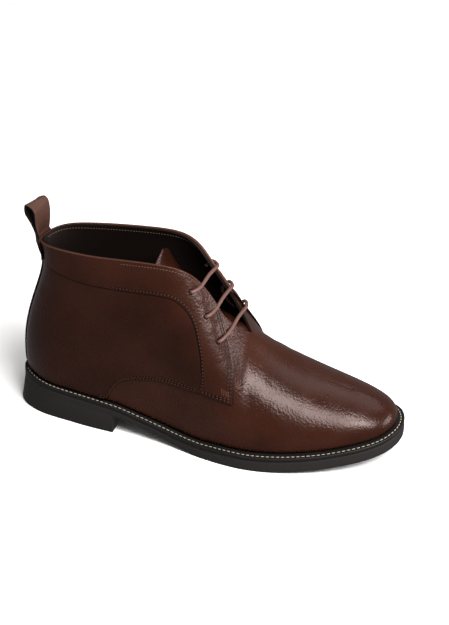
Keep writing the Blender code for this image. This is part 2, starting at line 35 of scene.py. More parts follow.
# The boot's own sizes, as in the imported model
LENGTH = 0.2995
BALL_WIDTH = 0.104
COLLAR_HEIGHT = 0.139
SEAT_LIFT = 0.020
TOE_SPRING = 0.0141
SOLE_THICKNESS = 0.0121
WELT_THICKNESS = 0.003
HEEL_LENGTH = 0.0855
HEEL_FLARE = 0.0031
WELT_SHOW_HEEL = 0.0038
WELT_SHOW_TOE = 0.0055
WALL = 0.0018
INSOLE_THICKNESS = 0.0045
PIPING_WIDTH = 0.0085
PIPING_HEIGHT = 0.0029
TONGUE_LEATHER = 0.0016
TONGUE_WIDTH = 0.044
STRAP_WIDTH = 0.0200
STRAP_LEATHER = 0.0010
STRAP_LIFT = 0.0021       # strap's legs off the shell
LOOP_HEIGHT = 0.030
LOOP_OPENING = 0.0070
LOOP_TWIST = math.radians(22)
EYELET_RADIUS = 0.0021
LACE_RADIUS = 0.00135
GAP = 0.0003

# The scene's leather lies close on the shell
QUARTER_LIFT = 0.0001      # quarter's inner face off the shell
QUARTER_LEATHER = 0.0010
FACING_LIFT = 0.0002
FACING_LEATHER = 0.0014
EDGE_ROUND = 0.0003        # rounding of cut leather edges
TUCK_HEIGHT = 0.0040       # the leather turns in to its seam over this height above the welt
TUCK_DEPTH = 0.0022
SHADE_BAND_RISE = 0.00012      # rise of a band of painted shade along a seam or an overlay's edge, above the leather

# Where thread and wax lie off the shell
ON_SHELL = 0.00008
ON_QUARTER = QUARTER_LIFT + QUARTER_LEATHER
ON_FACING = FACING_LIFT + FACING_LEATHER

# Each row's stitches: pitch, length and radius
BOLD_STITCH = (2.6 * MM, 1.8 * MM, 0.36 * MM)
TOP_LINE_STITCH = (2.2 * MM, 1.5 * MM, 0.22 * MM)
LINING_STITCH = (2.2 * MM, 1.6 * MM, 0.25 * MM)
WELT_STITCH = (3.7 * MM, 2.7 * MM, 0.30 * MM)


def columns(names, rows):
    """A short table as one array for each named column."""
    return dict(zip(names.split(), np.array(rows, dtype=float).T))


# The sole's edge in plan, a row for each rib: shares of LENGTH, then of BALL_WIDTH
EDGE = columns("along out in", [
    (0.008, 0.000, 0.000), (0.019, 0.108, 0.107), (0.050, 0.199, 0.196), (0.102, 0.281, 0.281),
    (0.179, 0.322, 0.303), (0.272, 0.348, 0.285), (0.366, 0.371, 0.271), (0.452, 0.414, 0.292),
    (0.539, 0.477, 0.352), (0.633, 0.516, 0.438), (0.720, 0.499, 0.484), (0.803, 0.441, 0.478),
    (0.877, 0.366, 0.428), (0.940, 0.270, 0.340), (0.983, 0.142, 0.220), (1.000, -0.035, 0.035)])

# The top line over the same ribs: shares of LENGTH, BALL_WIDTH, COLLAR_HEIGHT and BALL_WIDTH
TOP = columns("along half up centre", [
    (0.071, 0.000, 0.995, 0.000), (0.083, 0.090, 1.008, 0.000), (0.115, 0.169, 1.021, 0.000),
    (0.167, 0.216, 1.026, 0.000), (0.239, 0.245, 1.032, 0.000), (0.322, 0.253, 1.041, 0.000),
    (0.402, 0.243, 1.040, 0.000), (0.462, 0.186, 0.996, 0.000), (0.515, 0.136, 0.872, 0.000),
    (0.585, 0.130, 0.664, 0.010), (0.663, 0.000, 0.518, 0.030), (0.736, 0.000, 0.427, 0.040),
    (0.793, 0.000, 0.384, 0.040), (0.833, 0.000, 0.363, 0.040), (0.860, 0.000, 0.349, 0.035),
    (0.870, 0.000, 0.345, 0.030)])

# The side walls between them: the lower handle's height and swell, then the upper handle's offset
SIDE = columns("rise swell_out swell_in", [
    (0.50, 0.049, 0.049), (0.50, 0.055, 0.055), (0.47, 0.057, 0.054), (0.40, 0.047, 0.037),
    (0.36, 0.039, 0.015), (0.34, 0.038, -0.005), (0.34, 0.036, -0.015), (0.32, 0.036, -0.005),
    (0.30, 0.034, 0.018), (0.34, 0.028, 0.030), (0.40, 0.025, 0.030), (0.50, 0.020, 0.025),
    (0.56, 0.020, 0.020), (0.58, 0.020, 0.020), (0.58, 0.020, 0.020), (0.58, 0.020, 0.020)])
HANDLE = columns("along side down", [
    (0.114, 0.000, 0.200), (0.100, 0.000, 0.200), (0.068, 0.010, 0.216), (0.029, 0.030, 0.248),
    (0.005, 0.050, 0.277), (0.000, 0.070, 0.280), (0.000, 0.110, 0.250), (-0.050, 0.180, 0.140),
    (-0.100, 0.240, 0.030), (-0.050, 0.260, 0.020), (0.000, 0.270, 0.015), (0.040, 0.250, 0.010),
    (0.080, 0.190, 0.012), (0.130, 0.120, 0.016), (0.165, 0.050, 0.020), (0.175, 0.000, 0.021)])

# The sole from the side: shares of LENGTH, SEAT_LIFT, TOE_SPRING and SOLE_THICKNESS
SOLE = columns("along lift spring thick", [
    (0.000, 1.000, 0.00, 0.670), (0.140, 0.920, 0.00, 0.685), (0.285, 0.735, 0.00, 0.700),
    (0.360, 0.490, 0.00, 0.700), (0.420, 0.280, 0.00, 0.735), (0.475, 0.110, 0.00, 0.810),
    (0.530, 0.000, 0.00, 0.926), (0.625, 0.000, 0.00, 1.000), (0.720, 0.000, 0.085, 1.000),
    (0.810, 0.000, 0.255, 1.000), (0.870, 0.000, 0.454, 1.000), (0.940, 0.000, 0.723, 1.000),
    (1.000, 0.000, 1.000, 1.000)])

# The collar and facing piece in the upper's own numbers: its seam with the quarter, and its free edge
FACING = columns("seam_v seam_t edge_v edge_t", [
    (0.00, 0.805, 0.00, 1.000), (1.00, 0.805, 1.00, 1.000), (2.00, 0.810, 2.00, 1.000),
    (3.20, 0.810, 3.20, 1.000), (4.60, 0.808, 4.60, 1.000), (5.80, 0.808, 5.80, 1.000),
    (6.60, 0.796, 6.60, 1.000), (7.20, 0.770, 7.30, 1.000), (7.65, 0.744, 7.80, 1.000),
    (7.96, 0.698, 8.16, 1.000), (8.12, 0.620, 8.42, 0.990), (8.18, 0.540, 8.72, 0.905),
    (8.17, 0.470, 8.95, 0.780), (8.10, 0.400, 9.05, 0.590), (8.00, 0.345, 8.95, 0.372)])

# The quarter's leather between the sole or the vamp and that seam, under which its upper edge runs on
QUARTER = columns("low_v low_t high_v high_t", [
    (0.10, 0.006, 0.12, 0.815), (0.70, 0.006, 0.90, 0.818), (1.40, 0.006, 1.90, 0.823),
    (2.40, 0.006, 3.10, 0.823), (3.60, 0.006, 4.30, 0.821), (4.60, 0.008, 5.30, 0.821),
    (4.95, 0.030, 6.00, 0.819), (5.07, 0.100, 6.60, 0.808), (5.33, 0.191, 7.13, 0.787),
    (5.90, 0.252, 7.62, 0.757), (6.60, 0.291, 8.00, 0.700), (7.30, 0.308, 8.20, 0.600),
    (7.96, 0.332, 8.20, 0.430)])

# Eyelets, from the collar down, and where each lace bar leaves the facing
EYELETS = columns("v t edge_v edge_t", [
    (7.54, 0.884, 7.80, 0.990), (8.25, 0.834, 8.40, 0.970), (8.67, 0.752, 8.90, 0.960)])

# The tongue's middle line from under the vamp to its tip, its width and how far its sides fall
TONGUE = columns("along up width fall", [
    (0.670, 0.484, 0.80, 0.20), (0.625, 0.556, 0.84, 0.24), (0.590, 0.618, 0.88, 0.26),
    (0.555, 0.655, 0.92, 0.24), (0.520, 0.680, 0.95, 0.20), (0.482, 0.715, 0.98, 0.17),
    (0.446, 0.785, 1.00, 0.15), (0.416, 0.875, 1.00, 0.13), (0.396, 0.955, 0.90, 0.11),
    (0.387, 1.035, 0.04, 0.01)])

# The pull loop's inner face above the collar, front leg first
STRAP = columns("forward up turned bow", [
    (-0.40, 0.10, 0.00, 1.00), (-0.29, 0.20, 0.20, 0.70), (-0.16, 0.32, 0.34, 0.40),
    (-0.03, 0.47, 0.47, 0.12), (0.04, 0.64, 0.52, 0.00), (0.00, 0.80, 0.48, 0.00),
    (-0.15, 0.92, 0.60, 0.00), (-0.64, 1.00, 1.00, 0.00), (-0.99, 0.92, 0.35, 0.00),
    (-1.12, 0.80, 0.00, 0.00), (-0.91, 0.69, 0.00, 0.05), (-0.62, 0.52, 0.00, 0.20),
    (-0.52, 0.34, 0.00, 0.55), (-0.50, 0.16, 0.00, 0.88)])

# Where the strap's front leg lies on the collar, up to its top line
FRONT_LEG = (0.925, 0.965, 1.0)

# Down the back the strap lies over its front leg (1 in off), then on the collar (0)
REAR_LEG = columns("t off", [
    (0.995, 1.00), (0.965, 1.00), (0.925, 1.00), (0.880, 0.35), (0.850, 0.00), (0.815, 0.00)])

# How far the heel's wall runs out towards the floor, by rib: shares of HEEL_FLARE
HEEL = columns("place out", [
    (0.0, 1.00), (0.8, 1.02), (1.6, 0.92), (2.0, 0.70), (2.4, 0.42), (2.8, 0.10), (3.25, -0.20),
    (3.7, -0.24), (4.1, -0.10), (4.5, 0.06), (5.2, 0.12)])

RIBS = len(EDGE["along"])
TOE = RIBS - 1
ROUND = 2 * TOE
THROAT_NARROWS = 8.0
THROAT_END = 9.3
HEEL_CENTRE = HEEL_LENGTH / 2
SMALL = 1e-3

# Soft troughs (depth above 0) and ridges (below 0) pressed in the leather: the side (1 the outer side of
# the foot, 2 the inner side, 3 both), width and depth in mm, and a line of (v, t) places
CREASES = (
    # the flex of the ball, over the vamp
    (3, 3.2, 0.24, ((9.50, 0.56), (9.66, 0.68), (9.80, 0.80))),
    (3, 3.4, 0.18, ((9.90, 0.50), (10.05, 0.61), (10.2, 0.72))),
    (3, 4.2, -0.15, ((9.72, 0.52), (9.86, 0.65), (9.98, 0.78))),
    # fine wrinkles low on the vamp, where the flex runs out
    (1, 1.3, 0.13, ((9.30, 0.33), (9.48, 0.41), (9.62, 0.50))),
    (1, 1.2, 0.11, ((9.42, 0.31), (9.60, 0.38), (9.76, 0.47))),
    (1, 1.4, 0.10, ((9.58, 0.30), (9.76, 0.37), (9.92, 0.44))),
    # the vamp dips against the facing's front edge
    (3, 1.3, 0.22, ((9.10, 0.36), (9.14, 0.50), (9.13, 0.62), (9.07, 0.76))),
    # the ankle's folds in the quarter
    (1, 4.5, 0.36, ((7.9, 0.60), (7.2, 0.55), (6.6, 0.56))),
    (1, 4.0, -0.28, ((7.9, 0.51), (7.3, 0.48), (6.8, 0.50))),
    (1, 3.4, 0.28, ((7.8, 0.43), (7.2, 0.40), (6.7, 0.42))),
    (1, 1.4, 0.10, ((7.5, 0.37), (7.1, 0.35), (6.7, 0.36))),
    (2, 5.0, 0.50, ((7.9, 0.58), (7.1, 0.55), (6.4, 0.58))),
    (2, 4.5, 0.40, ((7.8, 0.42), (7.0, 0.40), (6.3, 0.43))),
    (3, 7.0, 0.50, ((1.2, 0.60), (2.6, 0.62), (4.2, 0.58))),
    # the collar over the back of the ankle
    (3, 5.0, 0.30, ((5.9, 0.90), (6.6, 0.86), (7.1, 0.84))),
    # the pull of the laces on the facing
    (3, 2.4, 0.35, ((7.54, 0.884), (7.75, 0.97))),
    (3, 2.4, 0.40, ((8.25, 0.834), (8.38, 0.95))),
    (3, 2.4, 0.40, ((8.67, 0.752), (8.80, 0.85))),
    (3, 3.0, -0.25, ((7.90, 0.85), (8.05, 0.95))),
    (3, 3.0, -0.30, ((8.46, 0.78), (8.60, 0.90))),
    # the bar tack at the facing's corner
    (3, 2.2, 0.40, ((8.72, 0.42), (8.90, 0.43))),
)


class Ring:
    """A smooth closed curve through one value for each rib, outer side first, then the inner side back."""

    def __init__(self, outer_side, inner_side):
        self.values = np.concatenate([outer_side, inner_side[-2:0:-1]])
        one = np.eye(len(self.values))
        around = 4 * one + np.roll(one, 1, 0) + np.roll(one, -1, 0)
        change = 3 * (np.roll(self.values, -1) - np.roll(self.values, 1))
        self.slopes = np.linalg.solve(around, change)

    def __call__(self, v):
        count = len(self.values)
        start = np.floor(v)
        s = v - start
        i = start.astype(int) % count
        j = (i + 1) % count
        return (self.values[i] * (2 * s**3 - 3 * s**2 + 1) + self.slopes[i] * (s**3 - 2 * s**2 + s)
                + self.values[j] * (3 * s**2 - 2 * s**3) + self.slopes[j] * (s**3 - s**2))


def both(column, scale):
    return Ring(column * scale, column * scale)


def mirrored(column, scale):
    return Ring(-column * scale, column * scale)


EDGE_X = both(EDGE["along"], LENGTH)
EDGE_Y = Ring(-EDGE["out"] * BALL_WIDTH, EDGE["in"] * BALL_WIDTH)
TOP_X = both(TOP["along"], LENGTH)
TOP_Z = both(TOP["up"], COLLAR_HEIGHT)
TOP_CENTRE = both(TOP["centre"], BALL_WIDTH)
TOP_HALF = mirrored(TOP["half"], BALL_WIDTH)
RISE = both(SIDE["rise"], 1)
SWELL = Ring(SIDE["swell_out"] * BALL_WIDTH, SIDE["swell_in"] * BALL_WIDTH)
HANDLE_X = both(HANDLE["along"], BALL_WIDTH)
HANDLE_Y = mirrored(HANDLE["side"], BALL_WIDTH)
HANDLE_Z = both(HANDLE["down"], COLLAR_HEIGHT)


def smooth(places, values, x):
    """A smooth curve through a short table, which never swings past its values."""
    widths = np.diff(places)
    rises = np.diff(values) / widths
    slopes = np.concatenate([rises[:1], np.zeros(len(rises) - 1), rises[-1:]])
    for k in range(1, len(rises)):
        if rises[k - 1] * rises[k] > 0:
            before = 2 * widths[k] + widths[k - 1]
            after = widths[k] + 2 * widths[k - 1]
            slopes[k] = (before + after) / (before / rises[k - 1] + after / rises[k])
    i = np.clip(np.searchsorted(places, x, side="right") - 1, 0, len(widths) - 1)
    s = np.clip((x - places[i]) / widths[i], 0, 1)
    return (values[i] * (2 * s**3 - 3 * s**2 + 1) + widths[i] * slopes[i] * (s**3 - 2 * s**2 + s)
            + values[i + 1] * (3 * s**2 - 2 * s**3) + widths[i] * slopes[i + 1] * (s**3 - s**2))


def through(rows, s):
    """A smooth curve through the rows of points, s from 0 to 1."""
    places = np.linspace(0, 1, len(rows))
    return np.stack([smooth(places, rows[:, k], s) for k in range(rows.shape[1])], -1)


def underside(x):
    """Height of the outsole's bottom at x from the back of the heel."""
    return smooth(SOLE["along"] * LENGTH, SOLE["lift"] * SEAT_LIFT + SOLE["spring"] * TOE_SPRING, x)


def welt_top(x):
    return underside(x) + smooth(SOLE["along"] * LENGTH, SOLE["thick"] * SOLE_THICKNESS, x)


def welt_base(x):
    return welt_top(x) - WELT_THICKNESS


def show(x):
    """Width of welt outside the upper."""
    share = smooth(np.array([0.0, 0.15, 0.6, 1.0]) * LENGTH, np.array([0.0, 0.0, 1.0, 0.9]), x)
    return WELT_SHOW_HEEL + (WELT_SHOW_TOE - WELT_SHOW_HEEL) * share


def edge(v, inset=0.0):
    """Plan position on the sole's edge, moved inwards by inset, and the outward direction there."""
    place = np.stack([EDGE_X(v), EDGE_Y(v)], -1)
    run = np.stack([EDGE_X(v + SMALL) - EDGE_X(v - SMALL), EDGE_Y(v + SMALL) - EDGE_Y(v - SMALL)], -1)
    out = np.stack([run[..., 1], -run[..., 0]], -1)
    out = out / np.linalg.norm(out, axis=-1, keepdims=True)
    return place - out * np.asarray(inset)[..., None], out


def skin(v, t):
    """One rib of the last: a curve from the feather line, out over the side wall, to the top line."""
    plan, out = edge(v, show(EDGE_X(v)))
    foot = np.concatenate([plan, (welt_top(plan[..., 0]) + GAP)[..., None]], -1)
    near = np.minimum(np.mod(v, ROUND), ROUND - np.mod(v, ROUND))
    closing = np.clip((near - THROAT_NARROWS) / (THROAT_END - THROAT_NARROWS), 0, 1)
    half = TOP_HALF(v) * np.sqrt(1 - closing**2)
    top = np.stack([TOP_X(v), TOP_CENTRE(v) + half, TOP_Z(v)], -1)
    climb = RISE(v) * (top[..., 2] - foot[..., 2])
    lower = foot + np.concatenate([out * SWELL(v)[..., None], climb[..., None]], -1)
    upper = top + np.stack([HANDLE_X(v), HANDLE_Y(v), -HANDLE_Z(v)], -1)
    t = t[..., None]
    return (1 - t)**3 * foot + 3 * (1 - t)**2 * t * lower + 3 * (1 - t) * t**2 * upper + t**3 * top


def outward(v, t):
    """The direction out of the leather, and the direction up along it."""
    across = skin(v + SMALL, t) - skin(v - SMALL, t)
    upward = skin(v, np.clip(t + SMALL, 0, 1)) - skin(v, np.clip(t - SMALL, 0, 1))
    normal = np.cross(across, upward)
    normal = normal / np.linalg.norm(normal, axis=-1, keepdims=True)
    return normal, upward / np.linalg.norm(upward, axis=-1, keepdims=True)


def crease_lines():
    """Each crease as points on the leather, with its width and depth in metres."""
    lines = []
    for side, width, depth, places in CREASES:
        places = np.array(places)
        fine = through(places, np.linspace(0, 1, 3 * len(places)))
        if side & 1:
            lines.append((width * MM, depth * MM, skin(fine[:, 0], fine[:, 1])))
        if side & 2:
            lines.append((width * MM, depth * MM, skin(ROUND - fine[:, 0], fine[:, 1])))
    return lines


CREASE_LINES = crease_lines()


def relief(points):
    """How far the leather stands off its smooth form at each point: its creases and its tuck at the welt."""
    flat = points.reshape(-1, 3)
    above = (flat[:, 2] - welt_top(flat[:, 0])) / TUCK_HEIGHT
    moved = -TUCK_DEPTH * np.clip(1 - above, 0, 1)**2
    for width, depth, line in CREASE_LINES:
        reach = np.ptp(line, axis=0) / 2 + 4 * width
        near = np.where(np.all(np.abs(flat - line.mean(0)) < reach, axis=1))[0]
        if not len(near):
            continue
        start, step = line[:-1], np.diff(line, axis=0)
        offset = flat[near][:, None, :] - start[None, :, :]
        share = np.clip((offset * step).sum(-1) / (step * step).sum(-1), 0, 1)
        gap = np.linalg.norm(offset - share[..., None] * step, axis=-1)
        best = gap.argmin(1)
        row = np.arange(len(near))
        run = (best + share[row, best]) / len(step)
        fade = np.clip(1.6 * np.sin(math.pi * np.clip(run, 0.06, 0.94)), 0, 1)
        moved[near] -= depth * fade * np.exp(-(gap[row, best] / width)**2)
    return moved.reshape(points.shape[:-1])


def leather(v, t, lift=0.0):
    """Points of the upper's creased outer face, or of a face off it by lift, in the boot's own frame."""
    v, t = np.broadcast_arrays(np.asarray(v, dtype=float), np.asarray(t, dtype=float))
    point = skin(v, t)
    normal, _ = outward(v, t)
    point = point + normal * (np.asarray(lift) + relief(point))[..., None]
    return point - np.array([HEEL_CENTRE, 0, 0])


def wrapped(columns_count, rows_count, place):
    """A grid whose corners are moved by place(u, w), both from 0 to 1, and joined where its edges meet."""
    shape = bmesh.new()
    shape.loops.layers.uv.new("UVMap")
    bmesh.ops.create_grid(shape, x_segments=columns_count, y_segments=rows_count, size=0.5, calc_uvs=True)
    share = np.clip(np.array([corner.co[:2] for corner in shape.verts]) + 0.5, 0, 1)
    for corner, point in zip(shape.verts, place(share[:, 0], share[:, 1])):
        corner.co = point
    bmesh.ops.remove_doubles(shape, verts=shape.verts, dist=2e-6)
    return shape


def add(name, data):
    """Adds an object to the scene, at the origin."""
    made = bpy.data.objects.new(name, data)
    bpy.context.scene.collection.objects.link(made)
    return made


def add_shape(name, shape, finishes=()):
    """Adds a bmesh to the scene as an object with these finishes."""
    mesh = bpy.data.meshes.new(name)
    shape.to_mesh(mesh)
    shape.free()
    for finish in finishes:
        mesh.materials.append(finish)
    return add(name, mesh)


def piece(shape, name, finishes, replaced=(), sharp=40):
    """Makes the bmesh a piece that rides on the boot."""
    made = add_shape(name, shape, finishes)
    shade(made, sharp)
    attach(made, "root")
    if replaced:
        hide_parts(*replaced)
    return made


def shade(made, sharp=40):
    made.data.shade_smooth()
    made.data.set_sharp_from_angle(angle=math.radians(sharp))


def settle(made):
    """Makes the piece's modifiers part of its mesh."""
    graph = bpy.context.evaluated_depsgraph_get()
    mesh = bpy.data.meshes.new_from_object(made.evaluated_get(graph))
    made.modifiers.clear()
    made.data = mesh
    shade(made)


def wall(made, thickness, side, inner_finish=0, rim_finish=0):
    """A leather's thickness: side 1 grows it outwards, -1 inwards. The numbers pick from its finishes."""
    grown = made.modifiers.new("wall", "SOLIDIFY")
    grown.thickness = thickness
    grown.offset = side
    grown.material_offset = inner_finish
    grown.material_offset_rim = rim_finish
    grown.use_quality_normals = True


def punch(made, holes):
    cut = made.modifiers.new("eyelets", "BOOLEAN")
    cut.operation = "DIFFERENCE"
    cut.solver = "EXACT"
    cut.object = holes


def round_edges(made, width):
    eased = made.modifiers.new("cut_edge", "BEVEL")
    eased.width = width
    eased.segments = 2
    eased.limit_method = "ANGLE"
    eased.angle_limit = math.radians(50)


def between(table, low, high, along, across, inner_side):
    """Places in the upper's own numbers between two lines of a table, on either side of the boot."""
    if inner_side:
        along = 1 - along
    bottom = through(np.stack([table[low + "_v"], table[low + "_t"]], -1), along)
    top = through(np.stack([table[high + "_v"], table[high + "_t"]], -1), along)
    numbers = bottom + (top - bottom) * across[..., None]
    if inner_side:
        numbers[..., 0] = ROUND - numbers[..., 0]
    return numbers


# Finishes


def linear(code):
    """An sRGB hex colour as the linear colour that Blender takes."""
    values = [int(code[i:i + 2], 16) / 255 for i in (1, 3, 5)]
    return (*[c / 12.92 if c <= 0.04045 else ((c + 0.055) / 1.055)**2.4 for c in values], 1.0)


def feed(tree, made, inputs):
    """Gives a node its inputs, each a value or the socket that feeds it."""
    for name, value in inputs.items():
        if isinstance(value, bpy.types.NodeSocket):
            tree.links.new(value, made.inputs[name])
        else:
            made.inputs[name].default_value = value


def node(tree, kind, inputs=None, **settings):
    """Adds one node with its inputs and settings."""
    made = tree.nodes.new(kind)
    for name, value in settings.items():
        setattr(made, name, value)
    feed(tree, made, inputs or {})
    return made


def noise(tree, place, spacing, **inputs):
    """A noise whose blots are about one spacing apart, in metres."""
    return node(tree, "ShaderNodeTexNoise", {"Vector": place, "Scale": 1 / spacing, **inputs}).outputs[0]


def blend(tree, share, low, high):
    """A colour between two hex codes, by a share from 0 to 1."""
    mixed = node(tree, "ShaderNodeMix", {0: share, 6: linear(low), 7: linear(high)}, data_type="RGBA")
    return mixed.outputs[2]


def bump(tree, height, strength, distance, **under):
    """A relief of this height, over another one where Normal is given."""
    return node(tree, "ShaderNodeBump", {"Height": height, "Strength": strength, "Distance": distance,
                                         **under}).outputs[0]


def spread(tree, value, low, high, to_low=0.0, to_high=1.0):
    """A value that runs from low to high, stretched to run from to_low to to_high."""
    return node(tree, "ShaderNodeMapRange", {"Value": value, "From Min": low, "From Max": high,
                                             "To Min": to_low, "To Max": to_high}).outputs[0]


def object_place(tree):
    return node(tree, "ShaderNodeTexCoord").outputs["Object"]


def new_finish(name):
    finish = bpy.data.materials.new(name)
    finish.use_nodes = True
    return finish, finish.node_tree, finish.node_tree.nodes["Principled BSDF"]


def polished_leather(name, deep, light, roughness, seed=0.0):
    """Calf leather, drum dyed, waxed and brushed: a fine grain that breaks the gloss into a soft broad
    sheen, a colour that clouds from deep to light, and low wrinkles where the hide was loose."""
    finish, tree, shader = new_finish(name)
    moved = node(tree, "ShaderNodeMapping", {"Vector": object_place(tree), "Location": (seed, seed, 0)})
    place = moved.outputs["Vector"]
    cloud = noise(tree, place, 45 * MM, Detail=3.0)
    # real pores are 0.2 mm apart, too fine to show here, so the grain is drawn at 1.4 mm
    grain = node(tree, "ShaderNodeTexVoronoi", {"Vector": place, "Scale": 1 / (1.4 * MM)},
                 feature="SMOOTH_F1")
    fine = noise(tree, place, 2.2 * MM, Detail=3.0)
    grains = node(tree, "ShaderNodeMath", {0: grain.outputs["Distance"], 1: fine}, operation="ADD")
    loose = noise(tree, place, 16 * MM, Detail=2.0, Distortion=0.6)
    wrinkles = bump(tree, loose, 0.35, 1.0 * MM)
    feed(tree, shader, {
        "Base Color": blend(tree, spread(tree, cloud, 0.15, 0.85), deep, light),
        "Normal": bump(tree, grains.outputs[0], 0.55, 0.22 * MM, Normal=wrinkles),
        "Roughness": spread(tree, loose, 0.3, 0.7, roughness - 0.05, roughness + 0.05),
        "IOR": 1.45,
        "Specular IOR Level": 0.25,
        # the brown wax warms the shine
        "Specular Tint": (1.0, 0.80, 0.76, 1.0)})
    return finish


def lining_leather():
    """Black lining leather, aniline dyed and unpolished: matt, with a soft nap."""
    finish, tree, shader = new_finish("black_lining_leather")
    nap = noise(tree, object_place(tree), 1.5 * MM, Detail=4.0)
    feed(tree, shader, {
        "Base Color": blend(tree, nap, "#090504", "#140d0a"),
        "Normal": bump(tree, nap, 0.3, 0.15 * MM),
        "Roughness": 0.6,
        "IOR": 1.45,
        "Specular IOR Level": 0.12})
    return finish


def sole_rubber(name, code, roughness):
    """Moulded rubber, from a lightly blasted mould: dark grey-black, matt, with a fine even tooth."""
    finish, tree, shader = new_finish(name)
    place = object_place(tree)
    tooth = noise(tree, place, 0.9 * MM, Detail=2.0)
    wear = noise(tree, place, 14 * MM, Detail=3.0)
    feed(tree, shader, {
        "Base Color": linear(code),
        "Normal": bump(tree, tooth, 0.25, 0.12 * MM),
        "Roughness": spread(tree, wear, 0.3, 0.7, roughness - 0.06, roughness + 0.06),
        "IOR": 1.52,
        "Specular IOR Level": 0.15})
    return finish


def waxed_cord():
    """Round waxed cotton lace, plaited: a fine slanting rib and a dull wax shine."""
    finish, tree, shader = new_finish("waxed_cotton_cord")
    # UV u runs along the cord and v round it; the plait repeats every 1.6 mm
    place = node(tree, "ShaderNodeTexCoord").outputs["UV"]
    turned = node(tree, "ShaderNodeMapping", {"Vector": place, "Scale": (LACE_RUN / (1.6 * MM), 2.0, 1.0)})
    wave = node(tree, "ShaderNodeTexWave", {"Vector": turned.outputs[0], "Scale": 1.0, "Distortion": 0.4},
                bands_direction="DIAGONAL")
    rib = wave.outputs["Fac"]
    feed(tree, shader, {
        "Base Color": blend(tree, rib, "#3c231c", "#64423a"),
        "Normal": bump(tree, rib, 0.5, 0.15 * MM),
        "Roughness": 0.55})
    return finish


def sewing_thread(name, code):
    """Bonded nylon thread, the dye of a burnished edge, and painted shade: even colour, a small silky shine.
    """
    finish, tree, shader = new_finish(name)
    twist = noise(tree, object_place(tree), 0.6 * MM)
    feed(tree, shader, {
        "Base Color": linear(code),
        "Normal": bump(tree, twist, 0.3, 0.1 * MM),
        "Roughness": 0.5,
        "Specular IOR Level": 0.1})
    return finish


# Pieces


def eyelet(number, inner_side, column="", lift=0.0):
    """Centre and outward axis at one eyelet, or at the place where its bar leaves the facing."""
    v = EYELETS[column + "v"][number]
    v = np.array([ROUND - v if inner_side else v])
    t = np.array([EYELETS[column + "t"][number]])
    return leather(v, t, lift)[0], outward(v, t)[0][0]


def make_holes():
    """All six punched holes as one cutter."""
    shape = bmesh.new()
    for inner_side in (False, True):
        for number in range(len(EYELETS["v"])):
            centre, axis = eyelet(number, inner_side)
            turn = Vector((0, 0, 1)).rotation_difference(Vector(axis)).to_matrix().to_4x4()
            bmesh.ops.create_cone(shape, cap_ends=True, segments=28, radius1=EYELET_RADIUS,
                                  radius2=EYELET_RADIUS, depth=16 * MM,
                                  matrix=Matrix.Translation(centre) @ turn)
    return add_shape("punches", shape)


def make_upper(finishes, holes):
    shape = wrapped(340, 84, lambda u, w: leather(ROUND * u, w))
    made = piece(shape, "vamp_and_lining", finishes, ["upper"])
    wall(made, WALL, -1, inner_finish=1, rim_finish=1)
    punch(made, holes)
    settle(made)


def make_quarter(name, inner_side, finishes, replaced):
    def place(u, w):
        numbers = between(QUARTER, "low", "high", u, w, inner_side)
        return leather(numbers[..., 0], numbers[..., 1], QUARTER_LIFT)
    made = piece(wrapped(120, 72, place), name, finishes, [replaced])
    wall(made, QUARTER_LEATHER, 1, rim_finish=1)
    round_edges(made, EDGE_ROUND)
    settle(made)


def facing_place(along, across, inner_side):
    numbers = between(FACING, "seam", "edge", along, across, inner_side)
    if inner_side:
        numbers[..., 0] = np.minimum(numbers[..., 0], ROUND)
    return numbers


def make_facing(name, inner_side, finishes, holes, replaced):
    def place(u, w):
        numbers = facing_place(u, w, inner_side)
        return leather(numbers[..., 0], numbers[..., 1], FACING_LIFT)
    made = piece(wrapped(260, 40, place), name, finishes, [replaced])
    wall(made, FACING_LEATHER, 1, rim_finish=1)
    punch(made, holes)
    round_edges(made, EDGE_ROUND)
    settle(made)


def make_collar_edge(finish):
    """The top line's turned edge, a thin rounded strip over the facing's leather."""
    reach = 8.5
    outer, inner = ON_FACING + 0.1 * MM, -0.2 * MM
    middle, half = (outer + inner) / 2, (outer - inner) / 2

    def place(u, w):
        v = (2 * u - 1) * reach
        ones = np.ones_like(v)
        normal, up = outward(v, ones)
        turn = w * 2 * math.pi
        narrow = np.clip((reach - np.abs(v)) / 0.25, 0.02, 1)**0.5
        swell = half * np.cos(turn) * narrow
        rise = 0.45 * MM * np.sin(turn) * narrow
        base = skin(v, ones)
        point = base + normal * (middle + swell + relief(base))[..., None] + up * rise[..., None]
        return point - np.array([HEEL_CENTRE, 0, 0])
    piece(wrapped(420, 20, place), "collar_edge", [finish])


def make_piping(finish):
    """The padded black strip up the back seam: a flat top with well rounded edges."""
    start, end = 0.010, FACING["seam_t"][0] - 0.002

    def place(u, w):
        turn = 2 * math.pi * w
        across, rise = (np.sign(part) * np.abs(part)**0.6 for part in (np.cos(turn), np.sin(turn)))
        t = start + (end - start) * u
        return leather(across * PIPING_WIDTH / 2 / rib_step(t), t, PIPING_HEIGHT * (1 + rise) / 2)
    piece(wrapped(90, 28, place), "back_piping_strip", [finish], ["back_piping"])


